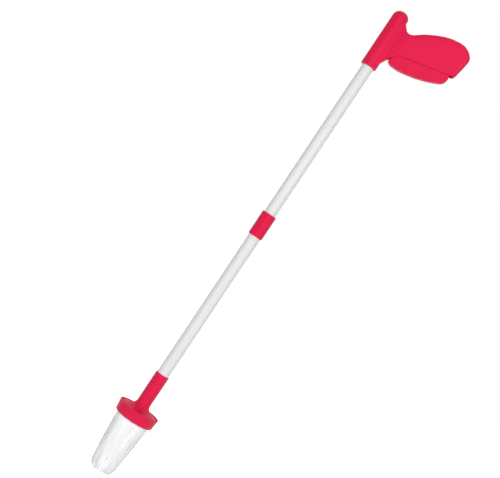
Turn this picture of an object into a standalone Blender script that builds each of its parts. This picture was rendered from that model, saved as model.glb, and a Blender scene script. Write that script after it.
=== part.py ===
"""Hand-held spider catcher: a squeeze handle, a jointed pole and a brush of twelve tufts that open.

Metres, +Z up. The pole stands along Z with the bristle tips lowest, and the grip reaches out along +X.
Every place below is measured from the pole's axis and from the level of the closed bristle tips. One
empty then shifts the whole object, so that its origin is where the hand holds the grip.
"""
import math

import bmesh
import bpy
from mathutils import Matrix
from mathutils import Vector

# Lengths that show along the pole, from the bristle tips to the top of the grip
BRUSH_LENGTH = 0.073
HEAD_LENGTH = 0.062
LOWER_TUBE_SHOWN = 0.1942
COLLAR_LENGTH = 0.0311
UPPER_TUBE_SHOWN = 0.2077
HANDLE_HEIGHT = 0.0821

# Fits
FIT_GAP = 0.0003
CUT_OVERRUN = 0.002

# Tubes and the collar that joins them
LOWER_TUBE_DIAMETER = 0.015
UPPER_TUBE_DIAMETER = 0.0144
TUBE_WALL = 0.0012
NECK_SOCKET_DEPTH = 0.031
COLLAR_DIAMETER = 0.018
COLLAR_EDGE_ROUND = 0.0008
COLLAR_STOP_THICKNESS = 0.003
COLLAR_STOP_BORE = 0.0112

# Push rods inside the tubes
ROD_DIAMETER = 0.005
ROD_END_DIAMETER = 0.0036
COUPLER_DIAMETER = 0.0088
COUPLER_LENGTH = 0.022
COUPLER_WEB = 0.002
GUIDE_LENGTH = 0.010
MIDDLE_GUIDE_RISE = 0.016
LOWER_GUIDE_RISE = 0.002

# Handle shells
BARREL_DIAMETER = 0.0200
BARREL_RIM_ROUND = 0.0006
BARREL_DOME_HEIGHT = 0.0086
BARREL_TOP_DROP = 0.0055
BARREL_CROWN_WALL = 0.0106
GRIP_REACH = 0.0951
GRIP_THICKNESS = 0.0184
GRIP_EDGE_ROUND = 0.004
SHELL_WALL = 0.002
SHELL_SPLIT = 0.0003
SPRING_CHAMBER_DIAMETER = 0.014
ARM_WINDOW_DROP = 0.007
ARM_WINDOW_RISE = 0.015
ARM_WINDOW_WIDTH = 0.010
HAND_REACH = 0.055
HAND_HEIGHT = 0.054

# Trigger, its pin and the angle that a squeeze turns it through
TRIGGER_SWING = math.radians(10)
PIVOT_REACH_SHARE = 0.2524
PIVOT_HEIGHT_SHARE = 0.4750
PIN_DIAMETER = 0.004
PIN_SEAT_DEPTH = 0.001
PIN_BOSS_DIAMETER = 0.0084
TRIGGER_WIDTH = 0.0130
TRIGGER_EDGE_ROUND = 0.002
TRIGGER_WALL = 0.002
TRIGGER_ARM_WIDTH = 0.004
TRIGGER_ARM_HEIGHT = 0.003
TRIGGER_ARM_ROOT_HEIGHT = 0.007
NOSE_DIAMETER = 0.0044

# Screws that hold the two shells together
SCREW_HEAD_DIAMETER = 0.0052
SCREW_HEAD_HEIGHT = 0.0018
SCREW_SHANK_DIAMETER = 0.0028
SCREW_SHANK_LENGTH = 0.013
SCREW_RECESS_DEPTH = 0.001
SCREW_RECESS_WIDTH = 0.0008
SCREW_SINK = 0.003
SCREW_BOSS_DIAMETER = 0.0070

# Rod head, return spring and the flanged guide that the spring stands on
ROD_HEAD_DIAMETER = 0.012
ROD_HEAD_CROWN = 0.0028
ROD_HEAD_HUB_DIAMETER = 0.0078
ROD_HEAD_HUB_LENGTH = 0.007
ROD_HEAD_FLOOR = 0.0016
SPRING_SEAT_THICKNESS = 0.0017
SPRING_SEAT_LENGTH = 0.010
SPRING_LENGTH = 0.0124
SPRING_COIL_DIAMETER = 0.0098
SPRING_WIRE_DIAMETER = 0.001
SPRING_TURNS = 5
SPRING_POINTS_PER_TURN = 9

# Head: a neck that flares into a rimmed bell, which goes round the circle of the tufts' hinges
NECK_DIAMETER = 0.0172
NECK_EDGE_ROUND = 0.0005
RIM_INNER_REACH = 0.0031
RIM_WALL = 0.0013
RIM_TAPER = 0.0014
RIM_BAND_HEIGHT = 0.012
RIM_LIP_HEIGHT = 0.0011
RIM_LIP_WIDTH = 0.0010
FLARE_INSET = 0.0018
FLARE_HEIGHT = 0.0105
RIM_CHAMBER_HEIGHT = 0.0073
HEAD_CEILING_WALL = 0.0022
HEAD_ROD_BORE = 0.010

# Tufts, their hinged holders and the ring that the holders hang in
TUFTS = 12
TUFT_SWING = math.radians(35)
HINGE_DIAMETER = 0.0404
HINGE_RISE = 0.002
HOLDER_INWARD = 0.0038
HOLDER_OUTWARD = 0.0012
HOLDER_ABOVE = 0.0016
HOLDER_BELOW = 0.0034
HOLDER_WALL = 0.0005
TRUNNION_DIAMETER = 0.0022
TRUNNION_LENGTH = 0.0010
TONGUE_WIDTH = 0.0044
TONGUE_THICKNESS = 0.0014
TONGUE_BULB_DIAMETER = 0.0024
RING_INWARD = 0.0028
RING_HEIGHT = 0.0068
NOTCH_PIER = 0.0004
RING_BAND_WALL = 0.0008
RING_BAND_HEIGHT = 0.004

# Disc that turns the holders, and the nut that clamps it on the lower rod
DISC_FLANGE = 0.0015
DISC_LIP_COVER = 0.0014
DISC_BOSS_DIAMETER = 0.0092
DISC_BOSS_HEIGHT = 0.0059
NUT_WIDTH = 0.0075
NUT_THICKNESS = 0.0032
ROD_END_SHOWN = 0.0004

# Bristles: each tuft is a slice of backing with strands in rows
STRAND_ROWS = 5
STRAND_COLUMNS = 5
BACKING_THICKNESS = 0.0012
STRAND_MARGIN = 0.0001
STRAND_TIP_SIZE = 0.00026
BRUSH_TIP_DIAMETER = 0.0328
BRUSH_TIP_HOLE = 0.010
TUFT_SPACING = 0.0004
TIP_CORNER_RISE = 0.0042
TIP_SIDE_RISE = 0.0018

# Facets round a turned piece
FINE_FACETS = 40
FACETS = 28
SMALL_FACETS = 14
TINY_FACETS = 8
NOSE_STEPS = 8
NOTCH_STEPS = 6
SMOOTH_ANGLE = math.radians(40)
SMALLEST_CORNER_SHARE = 0.4

# The grip seen from the side, as shares of its reach and of the handle's height. The lower edge here
# runs below the seam, and the seam's own outline then trims it flat.
GRIP_TOP_SHARES = (
    (-0.042, 0.780),
    (0.050, 0.805),
    (0.098, 0.795),
    (0.138, 0.740),
    (0.185, 0.703),
    (0.250, 0.725),
    (0.340, 0.805),
    (0.432, 0.868),
    (0.535, 0.928),
    (0.637, 0.972),
    (0.740, 0.995),
    (0.833, 1.000),
    (0.894, 0.980),
    (0.956, 0.935),
    (0.993, 0.880),
)
GRIP_END_SHARES = (
    (1.000, 0.835),
    (0.986, 0.715),
    (0.940, 0.430),
)
GRIP_FOOT_SHARES = (
    (0.300, 0.200),
    (0.180, 0.020),
    (-0.042, 0.020),
)
CAVITY_FOOT_SHARES = (
    (0.300, 0.100),
    (0.125, 0.100),
    (0.120, 0.390),
    (0.020, 0.390),
)
SEAM_SHARES = (
    (-0.060, 0.050),
    (0.075, 0.085),
    (0.098, 0.135),
    (0.147, 0.240),
    (0.210, 0.318),
    (0.290, 0.372),
    (0.945, 0.536),
    (1.200, 0.600),
)
TRIGGER_SHARES = (
    (0.165, 0.235),
    (0.185, 0.205),
    (0.225, 0.190),
    (0.330, 0.186),
    (0.440, 0.205),
    (0.560, 0.235),
    (0.680, 0.278),
    (0.790, 0.328),
    (0.860, 0.368),
    (0.895, 0.410),
    (0.905, 0.470),
    (0.895, 0.540),
    (0.870, 0.560),
    (0.640, 0.510),
    (0.330, 0.490),
    (0.250, 0.540),
    (0.200, 0.500),
    (0.178, 0.370),
)
TRIGGER_CHANNEL_SHARES = (
    (0.340, 0.260),
    (0.560, 0.300),
    (0.760, 0.372),
    (0.862, 0.420),
    (0.872, 0.650),
    (0.340, 0.650),
)
SCREW_PLACE_SHARES = (
    (0.350, 0.650),
    (0.620, 0.800),
    (0.880, 0.830),
)

# The bell's flare and the chamber under it, as shares of its width beyond the neck and of its height
FLARE_SHARES = (
    (0.000, 1.000),
    (0.020, 0.800),
    (0.075, 0.620),
    (0.200, 0.430),
    (0.420, 0.255),
    (0.700, 0.110),
    (1.000, 0.000),
)
DOME_STEPS = 5

# Levels along the pole
RIM_FOOT_Z = BRUSH_LENGTH
NECK_TOP_Z = RIM_FOOT_Z + HEAD_LENGTH
COLLAR_FOOT_Z = NECK_TOP_Z + LOWER_TUBE_SHOWN
COLLAR_MIDDLE_Z = COLLAR_FOOT_Z + COLLAR_LENGTH / 2
COLLAR_TOP_Z = COLLAR_FOOT_Z + COLLAR_LENGTH
BARREL_FOOT_Z = COLLAR_TOP_Z + UPPER_TUBE_SHOWN
BARREL_TOP_Z = BARREL_FOOT_Z + HANDLE_HEIGHT - BARREL_TOP_DROP
HINGE_Z = RIM_FOOT_Z + HINGE_RISE
PIVOT_REACH = GRIP_REACH * PIVOT_REACH_SHARE
PIVOT_Z = BARREL_FOOT_Z + HANDLE_HEIGHT * PIVOT_HEIGHT_SHARE
HAND_Z = BARREL_FOOT_Z + HAND_HEIGHT
LOWER_TUBE_FOOT_Z = NECK_TOP_Z - NECK_SOCKET_DEPTH + FIT_GAP
LOWER_TUBE_TOP_Z = COLLAR_MIDDLE_Z - COLLAR_STOP_THICKNESS / 2 - FIT_GAP
UPPER_TUBE_FOOT_Z = COLLAR_MIDDLE_Z + COLLAR_STOP_THICKNESS / 2 + FIT_GAP

# Radii round the circle of the hinges, and the width that each holder has on it
SECTOR = 2 * math.pi / TUFTS
RING_INNER = HINGE_DIAMETER / 2 - RING_INWARD
RIM_INNER = HINGE_DIAMETER / 2 + RIM_INNER_REACH
RIM_FOOT_OUTER = RIM_INNER + RIM_WALL
RIM_TOP_OUTER = RIM_FOOT_OUTER + RIM_TAPER
NOTCH_HALF = TRUNNION_DIAMETER / 2 + FIT_GAP
NOTCH_REACH = (HINGE_DIAMETER / 2 - NOTCH_HALF) * math.tan(SECTOR / 2) - NOTCH_PIER / 2
HOLDER_WIDTH = 2 * (NOTCH_REACH - TRUNNION_LENGTH - FIT_GAP)

# The trigger's nose drives the rod, and the rod's disc drives the holders' tongues
ROD_TRAVEL = 2 * PIVOT_REACH * math.sin(TRIGGER_SWING / 2)
NOSE_Z = PIVOT_Z + ROD_TRAVEL / 2
TONGUE_LENGTH = ROD_TRAVEL / (2 * math.sin(TUFT_SWING / 2))
TONGUE_DROP = TONGUE_LENGTH * math.cos(TUFT_SWING / 2)
GROOVE_Z = HINGE_Z + ROD_TRAVEL / 2
GROOVE_HALF = TONGUE_BULB_DIAMETER / 2 + FIT_GAP
DISC_FOOT_Z = GROOVE_Z - GROOVE_HALF - DISC_FLANGE
DISC_TOP_Z = GROOVE_Z + GROOVE_HALF + DISC_FLANGE
ROD_SHOULDER_Z = DISC_TOP_Z + DISC_BOSS_HEIGHT + FIT_GAP
NUT_TOP_Z = DISC_FOOT_Z - FIT_GAP
SLOT_HALF = NOSE_DIAMETER / 2 + FIT_GAP
ROD_HEAD_FOOT_Z = NOSE_Z - SLOT_HALF - ROD_HEAD_FLOOR - FIT_GAP
ROD_HEAD_HUB_Z = ROD_HEAD_FOOT_Z - ROD_HEAD_HUB_LENGTH
ROD_HEAD_TOP_Z = NOSE_Z + SLOT_HALF + ROD_HEAD_CROWN
UPPER_ROD_TOP_Z = ROD_HEAD_FOOT_Z
SPRING_FOOT_Z = ROD_HEAD_FOOT_Z - FIT_GAP - SPRING_LENGTH - FIT_GAP
SPRING_SEAT_Z = SPRING_FOOT_Z - SPRING_SEAT_THICKNESS
UPPER_TUBE_TOP_Z = SPRING_SEAT_Z - FIT_GAP
ROD_STOP_Z = ROD_HEAD_TOP_Z + FIT_GAP + SCREW_BOSS_DIAMETER / 2


def clear_scene():
    """Take away whatever the scene holds."""
    for item in list(bpy.data.objects):
        bpy.data.objects.remove(item, do_unlink=True)


def new_collection(name):
    """A collection under the scene's own."""
    collection = bpy.data.collections.new(name)
    bpy.context.scene.collection.children.link(collection)
    return collection


clear_scene()
PARTS = new_collection("spider_catcher")
CUTTERS = new_collection("cutters")


def add_pole_empty():
    """The empty that carries the whole object and puts its origin in the hand."""
    empty = bpy.data.objects.new("pole_axis", None)
    empty.location = (-HAND_REACH, 0, -HAND_Z)
    PARTS.objects.link(empty)
    return empty


POLE = add_pole_empty()


def surface(name, colour, roughness, metallic=0.0):
    """A Principled material of one colour."""
    material = bpy.data.materials.new(name)
    material.use_nodes = True
    shader = material.node_tree.nodes["Principled BSDF"]
    shader.inputs["Base Color"].default_value = (*colour, 1.0)
    shader.inputs["Roughness"].default_value = roughness
    shader.inputs["Metallic"].default_value = metallic
    material.diffuse_color = (*colour, 1.0)
    return material


def crimson_plastic():
    return surface("crimson_plastic", (0.78, 0.014, 0.085), 0.35)


def white_tube_plastic():
    return surface("white_tube_plastic", (0.84, 0.84, 0.85), 0.4)


def white_acetal():
    return surface("white_acetal", (0.80, 0.80, 0.78), 0.45)


def white_nylon():
    return surface("white_nylon", (0.88, 0.89, 0.90), 0.5)


def plated_steel():
    return surface("plated_steel", (0.62, 0.62, 0.63), 0.3, 1.0)


CRIMSON = crimson_plastic()
TUBE_WHITE = white_tube_plastic()
ACETAL = white_acetal()
NYLON = white_nylon()
STEEL = plated_steel()


def place(name, mesh, material=None, location=(0, 0, 0), rotation=(0, 0, 0)):
    """An object on the pole's frame. Without a material it is a cutter."""
    item = bpy.data.objects.new(name, mesh)
    item.parent = POLE
    item.location = location
    item.rotation_euler = rotation
    if material is None:
        CUTTERS.objects.link(item)
        item.hide_render = True
        item.display_type = "WIRE"
        return item
    PARTS.objects.link(item)
    if not mesh.materials:
        mesh.materials.append(material)
    return item


def evaluated_mesh(item):
    """The mesh that an object's modifiers make, in its own frame."""
    bpy.context.view_layer.update()
    graph = bpy.context.evaluated_depsgraph_get()
    return bpy.data.meshes.new_from_object(item.evaluated_get(graph))


def bake(item):
    """Replace an object's mesh and modifiers by what they make."""
    mesh = evaluated_mesh(item)
    item.modifiers.clear()
    item.data = mesh
    return item


def round_off(item):
    """Shade a round piece smooth but for its edges."""
    bake(item)
    item.data.shade_smooth()
    item.data.set_sharp_from_angle(angle=SMOOTH_ANGLE)
    return item


def combine(item, tool, operation):
    """Join, cut or intersect an object with a tool, and bake the result."""
    modifier = item.modifiers.new(tool.name, "BOOLEAN")
    modifier.operation = operation
    modifier.solver = "EXACT"
    modifier.object = tool
    return bake(item)


def cut(item, tool):
    return combine(item, tool, "DIFFERENCE")


def join(item, tool):
    return combine(item, tool, "UNION")


def turned(name, profile, closed, facets, material=None, location=(0, 0, 0)):
    """A profile of (radius, height) turned round Z. It runs down its outer side."""
    mesh = bpy.data.meshes.new(name)
    edges = [(index, index + 1) for index in range(len(profile) - 1)]
    if closed:
        edges.append((len(profile) - 1, 0))
    mesh.from_pydata([(radius, 0, height) for radius, height in profile], edges, [])
    item = place(name, mesh, material, location)
    screw = item.modifiers.new("turn", "SCREW")
    screw.axis = "Z"
    screw.steps = facets
    screw.render_steps = facets
    screw.use_merge_vertices = True
    screw.merge_threshold = 0.00001
    return round_off(item)


def rod_profile(radius, bottom, top):
    """A plain round bar from its axis out and back."""
    return [(0, top), (radius, top), (radius, bottom), (0, bottom)]


def sleeve_profile(outer, inner, bottom, top):
    """A plain tube's wall."""
    return [(outer, top), (outer, bottom), (inner, bottom), (inner, top)]


def box(name, low, high, material=None, location=(0, 0, 0), rotation=(0, 0, 0)):
    """A block between two corners, with its scale applied to its mesh."""
    mesh = bpy.data.meshes.new(name)
    work = bmesh.new()
    bmesh.ops.create_cube(work, size=1)
    size = Vector(high) - Vector(low)
    middle = (Vector(high) + Vector(low)) / 2
    stretch = Matrix.Diagonal((*size, 1))
    bmesh.ops.transform(work, matrix=Matrix.Translation(middle) @ stretch, verts=work.verts)
    work.to_mesh(mesh)
    work.free()
    return place(name, mesh, material, location, rotation)


def cross_bar(name, radius, half_length, facets, material=None, location=(0, 0, 0)):
    """A round bar that lies along Y."""
    mesh = bpy.data.meshes.new(name)
    work = bmesh.new()
    turn = Matrix.Rotation(math.pi / 2, 4, "X")
    bmesh.ops.create_cone(
        work,
        cap_ends=True,
        segments=facets,
        radius1=radius,
        radius2=radius,
        depth=2 * half_length,
        matrix=turn,
    )
    work.to_mesh(mesh)
    work.free()
    return place(name, mesh, material, location)


def side_outline(name, points, half_width, rounding=0.0, material=None, location=(0, 0, 0), tilt=0.0):
    """A flat outline of (x, z) points made as thick as asked along Y, with rounded edges if asked."""
    turn = (math.pi / 2, tilt, 0)
    data = bpy.data.curves.new(name, "CURVE")
    data.dimensions = "2D"
    data.fill_mode = "BOTH"
    data.extrude = half_width - rounding
    data.bevel_depth = rounding
    data.bevel_resolution = 2 if rounding else 0
    data.offset = -rounding
    spline = data.splines.new("POLY")
    spline.points.add(len(points) - 1)
    for point, (x, z) in zip(spline.points, points):
        point.co = (x, z, 0, 1)
    spline.use_cyclic_u = True
    curve = place(name, data, None, location, turn)
    mesh = welded(evaluated_mesh(curve))
    bpy.data.objects.remove(curve, do_unlink=True)
    return place(name, mesh, material, location, turn)


def welded(mesh):
    """Close the loose caps that a curve leaves, with every face pointing out."""
    work = bmesh.new()
    work.from_mesh(mesh)
    bmesh.ops.remove_doubles(work, verts=work.verts, dist=FIT_GAP / 30)
    bmesh.ops.recalc_face_normals(work, faces=work.faces)
    work.to_mesh(mesh)
    work.free()
    return mesh


def smooth_path(points, steps):
    """A smooth open line through points, with a number of steps between each two."""
    path = []
    for index in range(len(points) - 1):
        before = Vector(points[max(index - 1, 0)])
        start = Vector(points[index])
        end = Vector(points[index + 1])
        after = Vector(points[min(index + 2, len(points) - 1)])
        for step in range(steps):
            share = step / steps
            bend = (end - before) * share
            bend += (2 * before - 5 * start + 4 * end - after) * share ** 2
            bend += (3 * start - before - 3 * end + after) * share ** 3
            path.append(tuple(start + bend / 2))
    path.append(tuple(points[-1]))
    return path


def inset(points, distance):
    """A closed outline that runs clockwise, moved inwards by a distance."""
    moved = []
    for index, point in enumerate(points):
        here = Vector(point)
        into = (here - Vector(points[index - 1])).normalized()
        out = (Vector(points[(index + 1) % len(points)]) - here).normalized()
        along = (into + out).normalized()
        spread = max(along.dot(out), SMALLEST_CORNER_SHARE)
        moved.append(tuple(here + Vector((along.y, -along.x)) * distance / spread))
    return moved


def on_handle(shares):
    """Places on the handle's side view, from shares of its reach and height."""
    return [(x * GRIP_REACH, BARREL_FOOT_Z + z * HANDLE_HEIGHT) for x, z in shares]


def from_pivot(points):
    """Places seen from the trigger's pivot."""
    return [(x - PIVOT_REACH, z - PIVOT_Z) for x, z in points]


def nosed_arm(length, root, neck, nose):
    """The outline of an arm that runs along -X from its pivot and ends in a round nose."""
    radius = nose / 2
    start = math.asin(neck / nose)
    outline = [(0, root / 2), (0, -root / 2)]
    for step in range(NOSE_STEPS + 1):
        angle = start + 2 * (math.pi - start) * step / NOSE_STEPS
        outline.append((radius * math.cos(angle) - length, -radius * math.sin(angle)))
    return outline


def notch_outline(radius, top):
    """The outline of a notch that is open at its top and round at its floor."""
    outline = [(-radius, top), (radius, top)]
    for step in range(NOTCH_STEPS + 1):
        angle = math.pi * step / NOTCH_STEPS
        outline.append((radius * math.cos(angle), -radius * math.sin(angle)))
    return outline


def grip_outline(foot_shares):
    """The grip's side view, clockwise from the saddle behind the barrel's dome."""
    top = smooth_path(on_handle(GRIP_TOP_SHARES), 2)
    return top + on_handle(GRIP_END_SHARES) + on_handle(foot_shares)


def cut_below_seam(shell):
    """Trim the grip's underside flat, where the trigger comes out."""
    seam = smooth_path(on_handle(SEAM_SHARES), 2)
    below = BARREL_FOOT_Z - GRIP_THICKNESS
    outline = seam + [(seam[-1][0], below), (seam[0][0], below)]
    return cut(shell, side_outline("seam_cutter", outline, GRIP_THICKNESS / 2 + CUT_OVERRUN))


def barrel_solid():
    """The barrel that takes the upper tube, with a domed top."""
    radius = BARREL_DIAMETER / 2
    profile = []
    for step in range(DOME_STEPS + 1):
        angle = step / DOME_STEPS * math.pi / 2
        rise = BARREL_DOME_HEIGHT * (math.cos(angle) - 1)
        profile.append((radius * math.sin(angle), BARREL_TOP_Z + rise))
    profile.append((radius, BARREL_FOOT_Z + BARREL_RIM_ROUND))
    profile.append((radius - BARREL_RIM_ROUND, BARREL_FOOT_Z))
    profile.append((0, BARREL_FOOT_Z))
    return turned("barrel_solid", profile, False, FACETS)


def barrel_bore():
    """The tube's socket and the spring chamber over it."""
    socket = UPPER_TUBE_DIAMETER / 2 + FIT_GAP
    chamber = SPRING_CHAMBER_DIAMETER / 2
    chamber_top = BARREL_TOP_Z - BARREL_CROWN_WALL
    profile = [
        (0, chamber_top),
        (chamber, chamber_top),
        (chamber, SPRING_SEAT_Z),
        (socket, SPRING_SEAT_Z),
        (socket, BARREL_FOOT_Z - CUT_OVERRUN),
        (0, BARREL_FOOT_Z - CUT_OVERRUN),
    ]
    return turned("barrel_bore", profile, False, FACETS)


def arm_window():
    """The opening in the barrel's wall for the trigger's arm."""
    half = ARM_WINDOW_WIDTH / 2
    low = (0, -half, PIVOT_Z - ARM_WINDOW_DROP)
    high = (BARREL_DIAMETER / 2 + CUT_OVERRUN, half, PIVOT_Z + ARM_WINDOW_RISE)
    return box("arm_window", low, high)


def screw_places():
    """Each screw as (x, z, level of the shell's outer face there)."""
    places = [(0, ROD_STOP_Z, BARREL_DIAMETER / 2)]
    for x, z in on_handle(SCREW_PLACE_SHARES):
        places.append((x, z, GRIP_THICKNESS / 2))
    return places


def add_screw_bosses(shell):
    """A post from wall to wall round each screw."""
    radius = SCREW_BOSS_DIAMETER / 2
    for x, z, face in screw_places():
        half = face - SHELL_WALL / 2
        shell = join(shell, cross_bar("screw_boss", radius, half, SMALL_FACETS, location=(x, 0, z)))
    return shell


def cut_screw_holes(shell):
    """Each screw's head pocket in the right shell, and its blind hole through to the left one."""
    head = SCREW_HEAD_DIAMETER / 2 + FIT_GAP
    head_half = (SCREW_SINK + CUT_OVERRUN) / 2
    shank = SCREW_SHANK_DIAMETER / 2 + FIT_GAP
    shank_half = (SCREW_SHANK_LENGTH + FIT_GAP + CUT_OVERRUN) / 2
    for x, z, face in screw_places():
        seat = face - SCREW_SINK
        pocket = (x, seat + head_half, z)
        shell = cut(shell, cross_bar("head_pocket", head, head_half, SMALL_FACETS, location=pocket))
        hole = (x, seat + CUT_OVERRUN - shank_half, z)
        shell = cut(shell, cross_bar("shank_hole", shank, shank_half, SMALL_FACETS, location=hole))
    return shell


def add_pin_seats(shell):
    """A low boss inside each shell, with a blind hole for the pivot pin."""
    inner = TRIGGER_WIDTH / 2 + FIT_GAP
    outer = GRIP_THICKNESS / 2 - SHELL_WALL / 2
    for side in (-1, 1):
        where = (PIVOT_REACH, side * (inner + outer) / 2, PIVOT_Z)
        half = (outer - inner) / 2
        boss = cross_bar("pin_boss", PIN_BOSS_DIAMETER / 2, half, SMALL_FACETS, location=where)
        shell = join(shell, boss)
    hole = PIN_DIAMETER / 2 + FIT_GAP
    depth = GRIP_THICKNESS / 2 - PIN_SEAT_DEPTH
    pivot = (PIVOT_REACH, 0, PIVOT_Z)
    return cut(shell, cross_bar("pin_hole", hole, depth, SMALL_FACETS, location=pivot))


def handle_blank():
    """The whole hollow handle, before it is split into two shells."""
    outside = grip_outline(GRIP_FOOT_SHARES)
    blank = side_outline("handle_blank", outside, GRIP_THICKNESS / 2, GRIP_EDGE_ROUND)
    blank = cut_below_seam(blank)
    inside = inset(grip_outline(CAVITY_FOOT_SHARES), SHELL_WALL)
    blank = cut(blank, side_outline("grip_cavity", inside, GRIP_THICKNESS / 2 - SHELL_WALL))
    blank = join(blank, barrel_solid())
    blank = cut(blank, barrel_bore())
    blank = cut(blank, arm_window())
    blank = add_screw_bosses(blank)
    blank = cut_screw_holes(blank)
    return add_pin_seats(blank)


def shell_half(name, blank, side):
    """One half of the handle. Side is -1 for the left shell and 1 for the right."""
    shell = place(name, blank.data.copy(), CRIMSON, blank.location, blank.rotation_euler)
    near = side * SHELL_SPLIT / 2
    far = -side * (BARREL_DIAMETER / 2 + CUT_OVERRUN)
    low = (-BARREL_DIAMETER, min(near, far), BARREL_FOOT_Z - CUT_OVERRUN)
    high = (GRIP_REACH + CUT_OVERRUN, max(near, far), BARREL_FOOT_Z + HANDLE_HEIGHT + CUT_OVERRUN)
    shell = cut(shell, box(f"{name}_other_side", low, high))
    shell.data.shade_smooth()
    shell.data.set_sharp_from_angle(angle=SMOOTH_ANGLE)
    return shell


def build_handle():
    blank = handle_blank()
    shell_half("handle_left_shell", blank, -1)
    shell_half("handle_right_shell", blank, 1)


def screw_mesh():
    """A pan-head screw that stands on its seat at the origin, with a cross recess."""
    head = SCREW_HEAD_DIAMETER / 2
    shank = SCREW_SHANK_DIAMETER / 2
    profile = [
        (0, SCREW_HEAD_HEIGHT),
        (head - SCREW_HEAD_HEIGHT / 3, SCREW_HEAD_HEIGHT),
        (head, SCREW_HEAD_HEIGHT / 2),
        (head, 0),
        (shank, 0),
        (shank, shank - SCREW_SHANK_LENGTH),
        (0, -SCREW_SHANK_LENGTH),
    ]
    screw = turned("screw_solid", profile, False, TINY_FACETS)
    reach = head - SCREW_HEAD_HEIGHT / 3
    low_z = SCREW_HEAD_HEIGHT - SCREW_RECESS_DEPTH
    high_z = SCREW_HEAD_HEIGHT + CUT_OVERRUN
    half = SCREW_RECESS_WIDTH / 2
    recess = box("recess", (-reach, -half, low_z), (reach, half, high_z))
    recess = join(recess, box("recess_cross", (-half, -reach, low_z), (half, reach, high_z)))
    return cut(screw, recess).data


def build_screws():
    mesh = screw_mesh()
    for index, (x, z, face) in enumerate(screw_places()):
        seat = face - SCREW_SINK + FIT_GAP
        place(f"handle_screw_{index + 1}", mesh, STEEL, (x, seat, z), (-math.pi / 2, 0, 0))


def build_trigger():
    """The finger lever, its channel and the arm that reaches into the rod's head."""
    axis = (PIVOT_REACH, 0, PIVOT_Z)
    blade = from_pivot(on_handle(TRIGGER_SHARES))
    trigger = side_outline("trigger", blade, TRIGGER_WIDTH / 2, TRIGGER_EDGE_ROUND, CRIMSON, axis)
    channel = from_pivot(on_handle(TRIGGER_CHANNEL_SHARES))
    half = TRIGGER_WIDTH / 2 - TRIGGER_WALL
    trigger = cut(trigger, side_outline("trigger_channel", channel, half, location=axis))
    arm = nosed_arm(PIVOT_REACH, TRIGGER_ARM_ROOT_HEIGHT, TRIGGER_ARM_HEIGHT, NOSE_DIAMETER)
    half = TRIGGER_ARM_WIDTH / 2
    trigger = join(trigger, side_outline("trigger_arm", arm, half, location=axis, tilt=TRIGGER_SWING / 2))
    bore = PIN_DIAMETER / 2 + FIT_GAP
    half = TRIGGER_WIDTH / 2 + CUT_OVERRUN
    trigger = cut(trigger, cross_bar("trigger_bore", bore, half, SMALL_FACETS, location=axis))
    trigger.data.shade_smooth()
    trigger.data.set_sharp_from_angle(angle=SMOOTH_ANGLE)
    half = GRIP_THICKNESS / 2 - PIN_SEAT_DEPTH - FIT_GAP
    cross_bar("trigger_pivot_pin", PIN_DIAMETER / 2, half, SMALL_FACETS, STEEL, axis)


def build_rod_head():
    """The block on top of the push rod, with a slot that the trigger's nose sits in."""
    radius = ROD_HEAD_DIAMETER / 2
    bore = ROD_DIAMETER / 2 + FIT_GAP
    hub = ROD_HEAD_HUB_DIAMETER / 2
    bore_top = UPPER_ROD_TOP_Z + FIT_GAP
    profile = [
        (0, ROD_HEAD_TOP_Z),
        (radius - ROD_HEAD_CROWN / 2, ROD_HEAD_TOP_Z),
        (radius, ROD_HEAD_TOP_Z - ROD_HEAD_CROWN / 2),
        (radius, ROD_HEAD_FOOT_Z),
        (hub, ROD_HEAD_FOOT_Z),
        (hub, ROD_HEAD_HUB_Z),
        (bore, ROD_HEAD_HUB_Z),
        (bore, bore_top),
        (0, bore_top),
    ]
    head = turned("rod_head", profile, False, FACETS, ACETAL)
    half = TRIGGER_ARM_WIDTH / 2 + FIT_GAP
    low = (-SLOT_HALF - FIT_GAP, -half, NOSE_Z - SLOT_HALF)
    high = (radius + CUT_OVERRUN, half, NOSE_Z + SLOT_HALF)
    cut(head, box("nose_slot", low, high))


def least_coil_gap(points, radius):
    """The least distance between two turns of a wire, from its centre points."""
    apart = SPRING_POINTS_PER_TURN // 2
    gaps = []
    for index, point in enumerate(points):
        for other in points[index + apart:]:
            gaps.append((Vector(point) - Vector(other)).length - 2 * radius)
    return min(gaps)


def build_return_spring():
    """The coil that pushes the rod head up and so closes the brush."""
    wire = SPRING_WIRE_DIAMETER / 2
    foot = SPRING_FOOT_Z + FIT_GAP + wire
    rise = SPRING_LENGTH - 2 * wire
    count = SPRING_TURNS * SPRING_POINTS_PER_TURN
    points = []
    for index in range(count + 1):
        angle = 2 * math.pi * index / SPRING_POINTS_PER_TURN
        x = SPRING_COIL_DIAMETER / 2 * math.cos(angle)
        y = SPRING_COIL_DIAMETER / 2 * math.sin(angle)
        points.append((x, y, foot + rise * index / count))
    data = bpy.data.curves.new("return_spring", "CURVE")
    data.dimensions = "3D"
    data.bevel_depth = wire
    data.bevel_resolution = 1
    data.use_fill_caps = True
    spline = data.splines.new("POLY")
    spline.points.add(count)
    for point, where in zip(spline.points, points):
        point.co = (*where, 1)
    curve = place("return_spring_wire", data)
    mesh = welded(evaluated_mesh(curve))
    bpy.data.objects.remove(curve, do_unlink=True)
    mesh.shade_smooth()
    place("return_spring", mesh, STEEL)
    print("least gap between the spring's turns in metres", round(least_coil_gap(points, wire), 5))


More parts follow.
